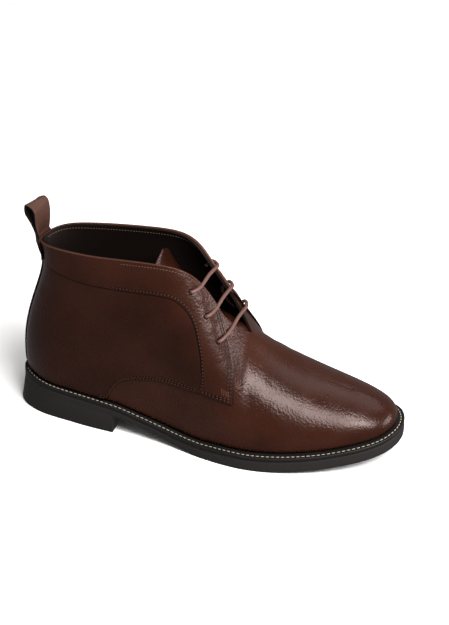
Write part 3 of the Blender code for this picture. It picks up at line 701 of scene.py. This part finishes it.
def make_welt(finish):
    """Flat under the stitches, its edge eased, with a low groove for the seam."""
    profile = np.array([  # share of the show, height in mm from the top
        (0.0, -2.55), (0.0, -0.75), (0.02, -0.35), (0.10, -0.06), (0.22, 0.0), (0.36, -0.05),
        (0.46, -0.34), (0.56, -0.34), (0.66, -0.05), (0.80, 0.0), (1.00, 0.05), (1.60, 0.0),
        (1.60, -2.9), (0.3, -2.9), (0.06, -2.85), (0.0, -2.55)])

    def place(u, w):
        v = ROUND * u
        row = w * (len(profile) - 1)
        k = np.clip(row.astype(int), 0, len(profile) - 2)
        s = (row - k)[:, None]
        at = profile[k] * (1 - s) + profile[k + 1] * s
        plan, _ = edge(v, at[:, 0] * show(EDGE_X(v)))
        return np.stack([plan[:, 0] - HEEL_CENTRE, plan[:, 1], welt_top(plan[:, 0]) + at[:, 1] * MM], -1)
    shape = wrapped(360, len(profile) - 1, place)
    piece(shape, "welt_strip", [finish], ["welt"], sharp=50)


def make_slab(name, finish, replaced, last, profile, base, top, across, cap=False):
    """A solid between the sole's two edges. Its side is a profile of (inset in metres, share of the height)
    up from the bottom; cap closes it with a flat face at its front."""
    count = len(profile)
    round_trip = 2 * count + 2 * (across - 1)

    def place(u, w):
        v = last * u
        step = np.rint(w * round_trip).astype(int) % round_trip
        inset = np.zeros_like(v)
        height = np.zeros_like(v)
        share = np.zeros_like(v)
        for k in range(round_trip):
            chosen = step == k
            if k < count:                       # up the outer side
                here = (profile[k][0], profile[k][1], 0.0)
            elif k < count + across - 1:        # over the top
                here = (profile[-1][0], 1.0, (k - count + 1) / across)
            elif k < 2 * count + across - 1:    # down the inner side
                here = (*profile[2 * count + across - 2 - k], 1.0)
            else:                               # back under the bottom
                here = (profile[0][0], 0.0, 1 - (k - 2 * count - across + 2) / across)
            side_in, height[chosen], share[chosen] = here
            inset[chosen] = side_in(v[chosen]) if callable(side_in) else side_in
        outer_side, _ = edge(v, inset)
        inner_side, _ = edge(ROUND - v, inset)
        plan = outer_side + (inner_side - outer_side) * share[:, None]
        low, high = base(plan[:, 0]), top(plan[:, 0])
        return np.stack([plan[:, 0] - HEEL_CENTRE, plan[:, 1], low + (high - low) * height], -1)
    shape = wrapped(220, round_trip, place)
    if cap:
        bmesh.ops.holes_fill(shape, edges=[e for e in shape.edges if e.is_boundary], sides=0)
    bmesh.ops.recalc_face_normals(shape, faces=shape.faces)
    piece(shape, name, [finish], replaced, sharp=50)


def breast_place():
    """The v at which the sole's edge reaches the heel's breast."""
    low, high = 0.0, float(TOE)
    for _ in range(40):
        middle = (low + high) / 2
        if EDGE_X(np.array([middle]))[0] < HEEL_LENGTH:
            low = middle
        else:
            high = middle
    return low


def make_sole(rubber, footbed):
    breast = breast_place()

    def eased(amount):
        """A rounding of the outsole's lower edge, left off where the heel carries on its wall."""
        return lambda v: amount * MM * np.clip((v - breast) / 0.3, 0.02, 1)

    def flared(share, amount):
        """The heel's wall, run out by a share of its flare, then rounded by an amount."""
        return lambda v: amount * MM - share * HEEL_FLARE * smooth(HEEL["place"], HEEL["out"], v)
    outsole_side = ((eased(1.1), 0.0), (eased(0.45), 0.04), (eased(0.1), 0.12), (0.0, 0.25), (0.0, 0.86),
                    (0.12 * MM, 0.93), (0.35 * MM, 0.97), (0.4 * MM, 1.0))
    make_slab("outsole_block", rubber, ["outsole"], TOE, outsole_side, underside,
              lambda x: welt_base(x) - 0.05 * MM, 10)
    heel_side = ((flared(1.0, 0.8), 0.0), (flared(1.0, 0.2), 0.02), (flared(0.97, 0.0), 0.06),
                 (flared(0.5, 0.0), 0.5), (0.0, 0.98), (0.15 * MM, 1.0))
    make_slab("heel_block", rubber, ["heel"], breast, heel_side, lambda x: 0 * x,
              lambda x: underside(x) + 0.1 * MM, 8, cap=True)
    inside = WELT_SHOW_TOE + WALL + GAP
    make_slab("footbed", footbed, ["insole"], TOE, ((inside, 0.0), (inside, 1.0)),
              lambda x: welt_base(x) + 0.1 * MM, lambda x: welt_base(x) + INSOLE_THICKNESS, 8)


def make_tongue(finishes):
    line = np.stack([TONGUE["along"] * LENGTH, TONGUE["up"] * COLLAR_HEIGHT], -1)

    def place(u, w):
        middle = through(line, u)
        form = through(np.stack([TONGUE["width"], TONGUE["fall"]], -1), u) * TONGUE_WIDTH
        run = through(line, np.clip(u + SMALL, 0, 1)) - through(line, np.clip(u - SMALL, 0, 1))
        run = run / np.linalg.norm(run, axis=1, keepdims=True)
        face = np.stack([-run[:, 1], run[:, 0]], -1)
        face = np.where(face[:, :1] < 0, -face, face)
        across = 1 - 2 * w
        fall = -form[:, 1] * across**2
        # two slack folds across the tongue
        fall = fall + 0.5 * MM * np.sin(u * 38) * (1 - across**2) * np.clip(1.2 - u, 0, 1)
        return np.stack([middle[:, 0] + face[:, 0] * fall - HEEL_CENTRE,
                         form[:, 0] / 2 * across + TOP["centre"][10] * BALL_WIDTH * (1 - u),
                         middle[:, 1] + face[:, 1] * fall], -1)
    made = piece(wrapped(90, 36, place), "tongue_leather", finishes, ["tongue"])
    wall(made, TONGUE_LEATHER, -1, inner_finish=1)
    round_edges(made, EDGE_ROUND)
    settle(made)


def rib_step(t):
    """Distance round the back of the boot for one rib's number, at height t."""
    t = np.asarray(t, dtype=float)
    beside = 0.25
    step = skin(np.full_like(t, beside), t) - skin(np.zeros_like(t), t)
    return np.linalg.norm(step, axis=-1) / beside


def leg_row(across, t, lift):
    """One row of the strap where it lies on the collar."""
    v = -across * STRAP_WIDTH / 2 / rib_step(t)
    return leather(v, np.full(len(across), t), lift)


def smooth_rows(rows, s):
    """Points on smooth curves through the given rows, s from 0 to 1 along the middle one."""
    middle = rows[:, rows.shape[1] // 2]
    run = np.concatenate([[0], np.cumsum(np.linalg.norm(np.diff(middle, axis=0), axis=1))])
    flat = rows.reshape(len(rows), -1)
    made = np.stack([smooth(run, flat[:, k], s * run[-1]) for k in range(flat.shape[1])], -1)
    return made.reshape(len(s), *rows.shape[1:])


def make_pull_loop(finishes):
    """A strap from outside the collar, up and over, and down over its own front leg; black on its inside."""
    across = np.linspace(-1, 1, 13)
    front = STRAP_LIFT + STRAP_LEATHER
    rim = leather(np.array([0.0]), np.array([1.0]))[0]
    rows = [leg_row(across, t, front) for t in FRONT_LEG]
    collar = leg_row(across, 1.0, 0.0) - rim
    collar[:, 1] = 0
    for forward, up, turned, bow in zip(*STRAP.values()):
        angle = LOOP_TWIST * turned
        side = np.stack([np.sin(angle) * across, np.cos(angle) * across, 0 * across], -1) * STRAP_WIDTH / 2
        middle = rim + np.array([forward * LOOP_OPENING, 0, up * (LOOP_HEIGHT - STRAP_LEATHER)])
        rows.append(middle + side + collar * bow)
    for t, off in zip(*REAR_LEG.values()):
        rows.append(leg_row(across, t, STRAP_LIFT + (front + 0.1 * MM - STRAP_LIFT) * off))
    rows = np.array(rows)

    def place(u, w):
        levels, index = np.unique(u, return_inverse=True)
        fine = smooth_rows(rows, levels)
        column = (1 - w) * (len(across) - 1)
        k = np.clip(column.astype(int), 0, len(across) - 2)
        s = (column - k)[:, None]
        return fine[index, k] * (1 - s) + fine[index, k + 1] * s
    made = piece(wrapped(160, 24, place), "pull_strap", finishes, ["pull_loop"])
    wall(made, STRAP_LEATHER, 1, inner_finish=1, rim_finish=1)
    round_edges(made, EDGE_ROUND)
    settle(made)


def lace_route():
    """The lace's middle line: a bar over each pair of eyelets, and short runs inside the facings."""
    above = ON_FACING + LACE_RADIUS + 0.25 * MM
    inside = -(WALL + LACE_RADIUS + 0.9 * MM)
    route = []
    for number in range(len(EYELETS["v"]) - 1, -1, -1):
        ends = []
        for inner_side in (False, True):
            deep, _ = eyelet(number, inner_side, "", inside)
            hole, _ = eyelet(number, inner_side)
            close = above - (0.8 * MM if inner_side else 0)
            over, _ = eyelet(number, inner_side, "", close)
            rim, _ = eyelet(number, inner_side, "edge_", close)
            ends.append([deep, hole, over, rim])
        # the bar runs nearly straight from its outer eyelet to the inner facing's rim
        start, low, far = ends[0][2], ends[0][3], ends[1][3]
        straight = start + (far - start) * (low[1] - start[1]) / (far[1] - start[1])
        ends[0][3] = (low + straight) / 2
        if number % 2 == 1:
            ends.reverse()
        first, second = ends
        middle = (first[-1] + second[-1]) / 2 + np.array([0.0, 0.0, LACE_RADIUS])
        route += [*first, middle, *second[::-1]]
    return np.array(route)


def tube(route, radius, count, around):
    """A round cord along a route; u runs along it and w round it."""
    path = smooth_rows(route[:, None, :], np.linspace(0, 1, count + 1))[:, 0]
    run = np.gradient(path, axis=0)
    run = run / np.linalg.norm(run, axis=1, keepdims=True)
    side = np.zeros_like(path)
    side[0] = np.cross(run[0], [0.0, 0.0, 1.0])
    for k in range(1, len(path)):
        side[k] = side[k - 1] - run[k] * np.dot(side[k - 1], run[k])
        side[k] /= np.linalg.norm(side[k])
    side[0] /= np.linalg.norm(side[0])
    other = np.cross(run, side)

    def place(u, w):
        k = np.rint(u * count).astype(int)
        turn = 2 * math.pi * w[:, None]
        return path[k] + radius * (np.cos(turn) * side[k] + np.sin(turn) * other[k])
    shape = wrapped(count, around, place)
    bmesh.ops.holes_fill(shape, edges=[e for e in shape.edges if e.is_boundary], sides=0)
    bmesh.ops.recalc_face_normals(shape, faces=shape.faces)
    return shape


def sew(shape, points, normals, pitch, length, radius, start=0.5):
    """Stitches laid end to end along a line on the leather."""
    run = np.concatenate([[0], np.cumsum(np.linalg.norm(np.diff(points, axis=0), axis=1))])
    count = max(int(run[-1] / pitch), 1)
    for k in range(count):
        here = (k + start) * run[-1] / count
        centre, before, after, normal = (
            np.array([np.interp(at, run, line[:, axis]) for axis in range(3)])
            for at, line in ((here, points), (here - length / 2, points), (here + length / 2, points),
                             (here, normals)))
        along = Vector(after - before).normalized()
        out = Vector(normal)
        out = (out - along * out.dot(along)).normalized()
        side = along.cross(out)
        frame_there = Matrix((side * radius, out * radius * 0.8, along * length / 2)).transposed().to_4x4()
        bmesh.ops.create_uvsphere(shape, u_segments=6, v_segments=4, radius=1.0,
                                  matrix=Matrix.Translation(centre) @ frame_there)


def on_leather(numbers, lift):
    v, t = numbers[..., 0], numbers[..., 1]
    return leather(v, t, lift), outward(v, t)[0]


def inset_line(table, low, high, along, inset, from_high, inner_side):
    """A line on an overlay, a fixed distance inside its low or its high edge."""
    ends = [between(table, low, high, along, np.full(len(along), w), inner_side) for w in (0.0, 1.0)]
    width = np.linalg.norm(skin(ends[0][:, 0], ends[0][:, 1]) - skin(ends[1][:, 0], ends[1][:, 1]), axis=1)
    across = np.clip(inset / np.maximum(width, 1e-4), 0, 1)
    if from_high:
        across = 1 - across
    return between(table, low, high, along, across, inner_side)


def shade_band(shape, points, normals, width):
    """A narrow raised band along a line, to carry painted shade: the shade of a stitched groove, or the
    shadow under an overlay's edge.
    """
    run = np.gradient(points, axis=0)
    side = np.cross(run, normals)
    side = side / np.linalg.norm(side, axis=1, keepdims=True) * width / 2
    last = len(points) - 1
    for corner in bmesh.ops.create_grid(shape, x_segments=last, y_segments=2, size=0.5)["verts"]:
        k = round((corner.co.x + 0.5) * last)
        across = 2 * corner.co.y
        corner.co = points[k] + side[k] * across + normals[k] * SHADE_BAND_RISE * (1 - abs(across))


def sew_bold_rows(stitches, shade_bands, inner_side):
    """Two rows along the facing's front and foot and the quarter's lower edge, one on the facing's seam."""
    front, foot = np.linspace(0.70, 0.985, 80), np.linspace(0.06, 0.94, 30)
    low, lower = np.linspace(0.44, 0.985, 120), np.linspace(0.29, 0.985, 120)
    rows = []
    for inset in (1.5 * MM, 3.4 * MM):
        # the facing's last tenth is 30 mm long
        end = np.full(len(foot), 1 - inset / (30 * MM) * 0.10)
        rows += [(inset_line(FACING, "seam", "edge", front, inset, True, inner_side), ON_FACING),
                 (inset_line(QUARTER, "low", "high", low, inset, False, inner_side), ON_QUARTER),
                 (between(FACING, "seam", "edge", end, foot, inner_side), ON_FACING)]
    rows.append((inset_line(FACING, "seam", "edge", lower, 1.5 * MM, False, inner_side), ON_FACING))
    for numbers, lift in rows:
        points, normals = on_leather(numbers, lift)
        # a band of painted shade under each row, for the shaded groove that the stitches sit in
        shade_band(shade_bands, points, normals, 1.3 * MM)
        sew(stitches, points + normals * 0.1 * MM, normals, *BOLD_STITCH)


def shade_overlay_edges(shade_bands, inner_side):
    """Painted shadow along each overlay's edge, on the leather just below it, and along the facing's foot.
    """
    for table, names, along, share, lift in (
            (FACING, ("seam", "edge"), np.linspace(0.01, 0.86, 160), 0.0, ON_QUARTER),
            (FACING, ("seam", "edge"), np.linspace(0.78, 1.0, 60), 1.0, ON_SHELL),
            (QUARTER, ("low", "high"), np.linspace(0.42, 1.0, 120), 0.0, ON_SHELL)):
        numbers = between(table, *names, along, np.full(len(along), share), inner_side)
        shade_band(shade_bands, *on_leather(numbers, lift + 0.06 * MM), 1.7 * MM)
    corner = between(FACING, "seam", "edge", np.ones(30), np.linspace(0, 1, 30), inner_side)
    shade_band(shade_bands, *on_leather(corner, ON_SHELL), 1.7 * MM)


def sew_fine_rows(stitches, inner_side):
    """A fine row under the collar's top line, and the lining's own row on its inside."""
    collar = np.linspace(0.30, 0.62, 120)
    top_line = inset_line(FACING, "seam", "edge", collar, 2.6 * MM, True, inner_side)
    sew(stitches, *on_leather(top_line, ON_FACING), *TOP_LINE_STITCH)
    v = np.linspace(0.4, 8.3, 200)
    if inner_side:
        v = ROUND - v
    points, normals = on_leather(np.stack([v, np.full(len(v), 0.972)], -1), -WALL)
    sew(stitches, points, -normals, *LINING_STITCH)


def tack_corner(stitches, inner_side):
    """The bar tack at the facing's lower corner: five stitches side by side."""
    for v in 8.70 + 0.045 * np.arange(5):
        tack = np.array([[v, 0.405], [v, 0.455]])
        if inner_side:
            tack[:, 0] = ROUND - tack[:, 0]
        points, normals = on_leather(tack, ON_FACING)
        length = np.linalg.norm(points[1] - points[0])
        sew(stitches, points, normals, length, length, 0.4 * MM)


def make_leather_seams(dark, fine, wax):
    bold, thin, line = bmesh.new(), bmesh.new(), bmesh.new()
    for inner_side in (False, True):
        sew_bold_rows(bold, line, inner_side)
        shade_overlay_edges(line, inner_side)
        sew_fine_rows(thin, inner_side)
        tack_corner(bold, inner_side)
    bmesh.ops.recalc_face_normals(line, faces=line.faces)
    # the finish passed as wax is the near-black painted shade: these are the bands of painted shade along
    # the seams and the overlays' edges
    piece(line, "painted_seam_shade", [wax])
    piece(bold, "seam_stitches", [dark])
    piece(thin, "fine_stitches", [fine])


def make_welt_stitches(thread):
    """Cream stitches in the welt's groove, 3.7 mm apart."""
    v = np.linspace(1.0, ROUND - 1.0, 900)
    plan, _ = edge(v, 0.51 * show(EDGE_X(v)))
    points = np.stack([plan[:, 0] - HEEL_CENTRE, plan[:, 1], welt_top(plan[:, 0]) - 0.1 * MM], -1)
    normals = np.tile([0.0, 0.0, 1.0], (len(v), 1))
    shape = bmesh.new()
    sew(shape, points, normals, *WELT_STITCH)
    piece(shape, "welt_stitches", [thread])


# Studio


def make_studio():
    floor = bmesh.new()
    bmesh.ops.create_grid(floor, x_segments=1, y_segments=1, size=6.0)
    finish, tree, shader = new_finish("white_paper_floor")
    feed(tree, shader, {"Base Color": linear("#fcfbfa"), "Roughness": 0.9, "Specular IOR Level": 0.1})
    made = add_shape("floor", floor, [finish])
    # the photograph's floor is burnt out to white and leaves no haze on the dark leather
    made.visible_glossy = False
    world = bpy.data.worlds.new("studio")
    world.use_nodes = True
    backdrop = world.node_tree.nodes["Background"]
    feed(world.node_tree, backdrop, {"Color": linear("#ffffff"), "Strength": 0.24})
    bpy.context.scene.world = world
    softbox("key_softbox", -45, 57, 1.5, (0.62, 0.90), 38)
    softbox("side_softbox", -26, 41, 1.5, (0.35, 0.55), 18)
    softbox("front_softbox", 14, 13, 1.6, (0.75, 0.40), 13)
    softbox("back_softbox", 60, 52, 1.8, (1.2, 0.8), 7)
    bpy.context.scene.view_settings.view_transform = "Standard"


def softbox(name, azimuth, elevation, distance, size, power):
    """A soft light seen from the vamp at this azimuth, from +X towards +Y, and elevation, in degrees."""
    target = Vector((0.15, -0.02, 0.05))
    turn, climb = math.radians(azimuth), math.radians(elevation)
    towards = Vector((math.cos(turn) * math.cos(climb), math.sin(turn) * math.cos(climb), math.sin(climb)))
    light = bpy.data.lights.new(name, "AREA")
    light.shape = "RECTANGLE"
    light.size, light.size_y = size
    light.energy = power
    made = add(name, light)
    made.location = target + towards * distance
    made.rotation_euler = towards.to_track_quat("Z", "Y").to_euler()


def make_camera():
    """A long lens above the outer side of the boot, as in the photograph."""
    view = bpy.data.cameras.new("photograph")
    view.sensor_fit = "HORIZONTAL"
    view.sensor_width = 36.0
    view.lens = 149.45
    made = add("photograph", view)
    made.location = (0.47270, -1.12036, 0.79485)
    made.rotation_euler = Vector((-0.25835, 0.82041, -0.51007)).to_track_quat("-Z", "Y").to_euler()
    bpy.context.scene.camera = made


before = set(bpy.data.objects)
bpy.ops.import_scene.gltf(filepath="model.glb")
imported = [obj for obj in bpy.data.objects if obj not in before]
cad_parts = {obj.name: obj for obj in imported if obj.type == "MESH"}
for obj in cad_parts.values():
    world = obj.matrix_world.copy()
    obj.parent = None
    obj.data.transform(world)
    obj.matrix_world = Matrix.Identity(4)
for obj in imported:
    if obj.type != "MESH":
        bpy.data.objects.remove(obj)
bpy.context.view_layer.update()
make_camera()
LACE_ROUTE = lace_route()
LACE_RUN = float(np.linalg.norm(np.diff(LACE_ROUTE, axis=0), axis=1).sum())
vamp_leather = polished_leather("vamp_calf_leather", "#1a0803", "#31170e", 0.27)
quarter_leather = polished_leather("quarter_calf_leather", "#170602", "#2a120a", 0.29, seed=0.3)
facing_leather = polished_leather("facing_calf_leather", "#190702", "#2e150c", 0.29, seed=0.7)
edge_leather = polished_leather("turned_edge_leather", "#371d14", "#4b2b20", 0.38, seed=1.1)
strap_leather = polished_leather("strap_calf_leather", "#341f18", "#402a22", 0.45, seed=1.7)
black_lining = lining_leather()
black_rubber = sole_rubber("moulded_sole_rubber", "#1e1b1a", 0.52)
welt_rubber = sole_rubber("welt_rubber", "#141212", 0.45)
cord = waxed_cord()
dark_thread = sewing_thread("brown_thread", "#402319")
# near black: the burnished cut edges' own dye, and painted shade in the bands along seams and overlay edges
edge_dye_and_shade = sewing_thread("edge_dye_and_painted_shade", "#0c0403")
fine_thread = sewing_thread("grey_brown_thread", "#5e463c")
cream_thread = sewing_thread("cream_thread", "#a99d86")
punches = make_holes()
make_upper([vamp_leather, black_lining], punches)
for side, on_inner in (("lateral", False), ("medial", True)):
    make_quarter(f"quarter_{side}_leather", on_inner, [quarter_leather, edge_dye_and_shade],
                 f"quarter_{side}")
    make_facing(f"facing_{side}_leather", on_inner, [facing_leather, edge_dye_and_shade], punches,
                f"facing_{side}")
bpy.data.objects.remove(punches, do_unlink=True)
make_collar_edge(edge_leather)
make_piping(black_lining)
make_tongue([quarter_leather, black_lining])
make_pull_loop([strap_leather, black_lining])
make_sole(black_rubber, black_lining)
make_welt(welt_rubber)
piece(tube(LACE_ROUTE, LACE_RADIUS, 260, 16), "lace_cord", [cord], ["lace"])
make_leather_seams(dark_thread, fine_thread, edge_dye_and_shade)
make_welt_stitches(cream_thread)
make_studio()
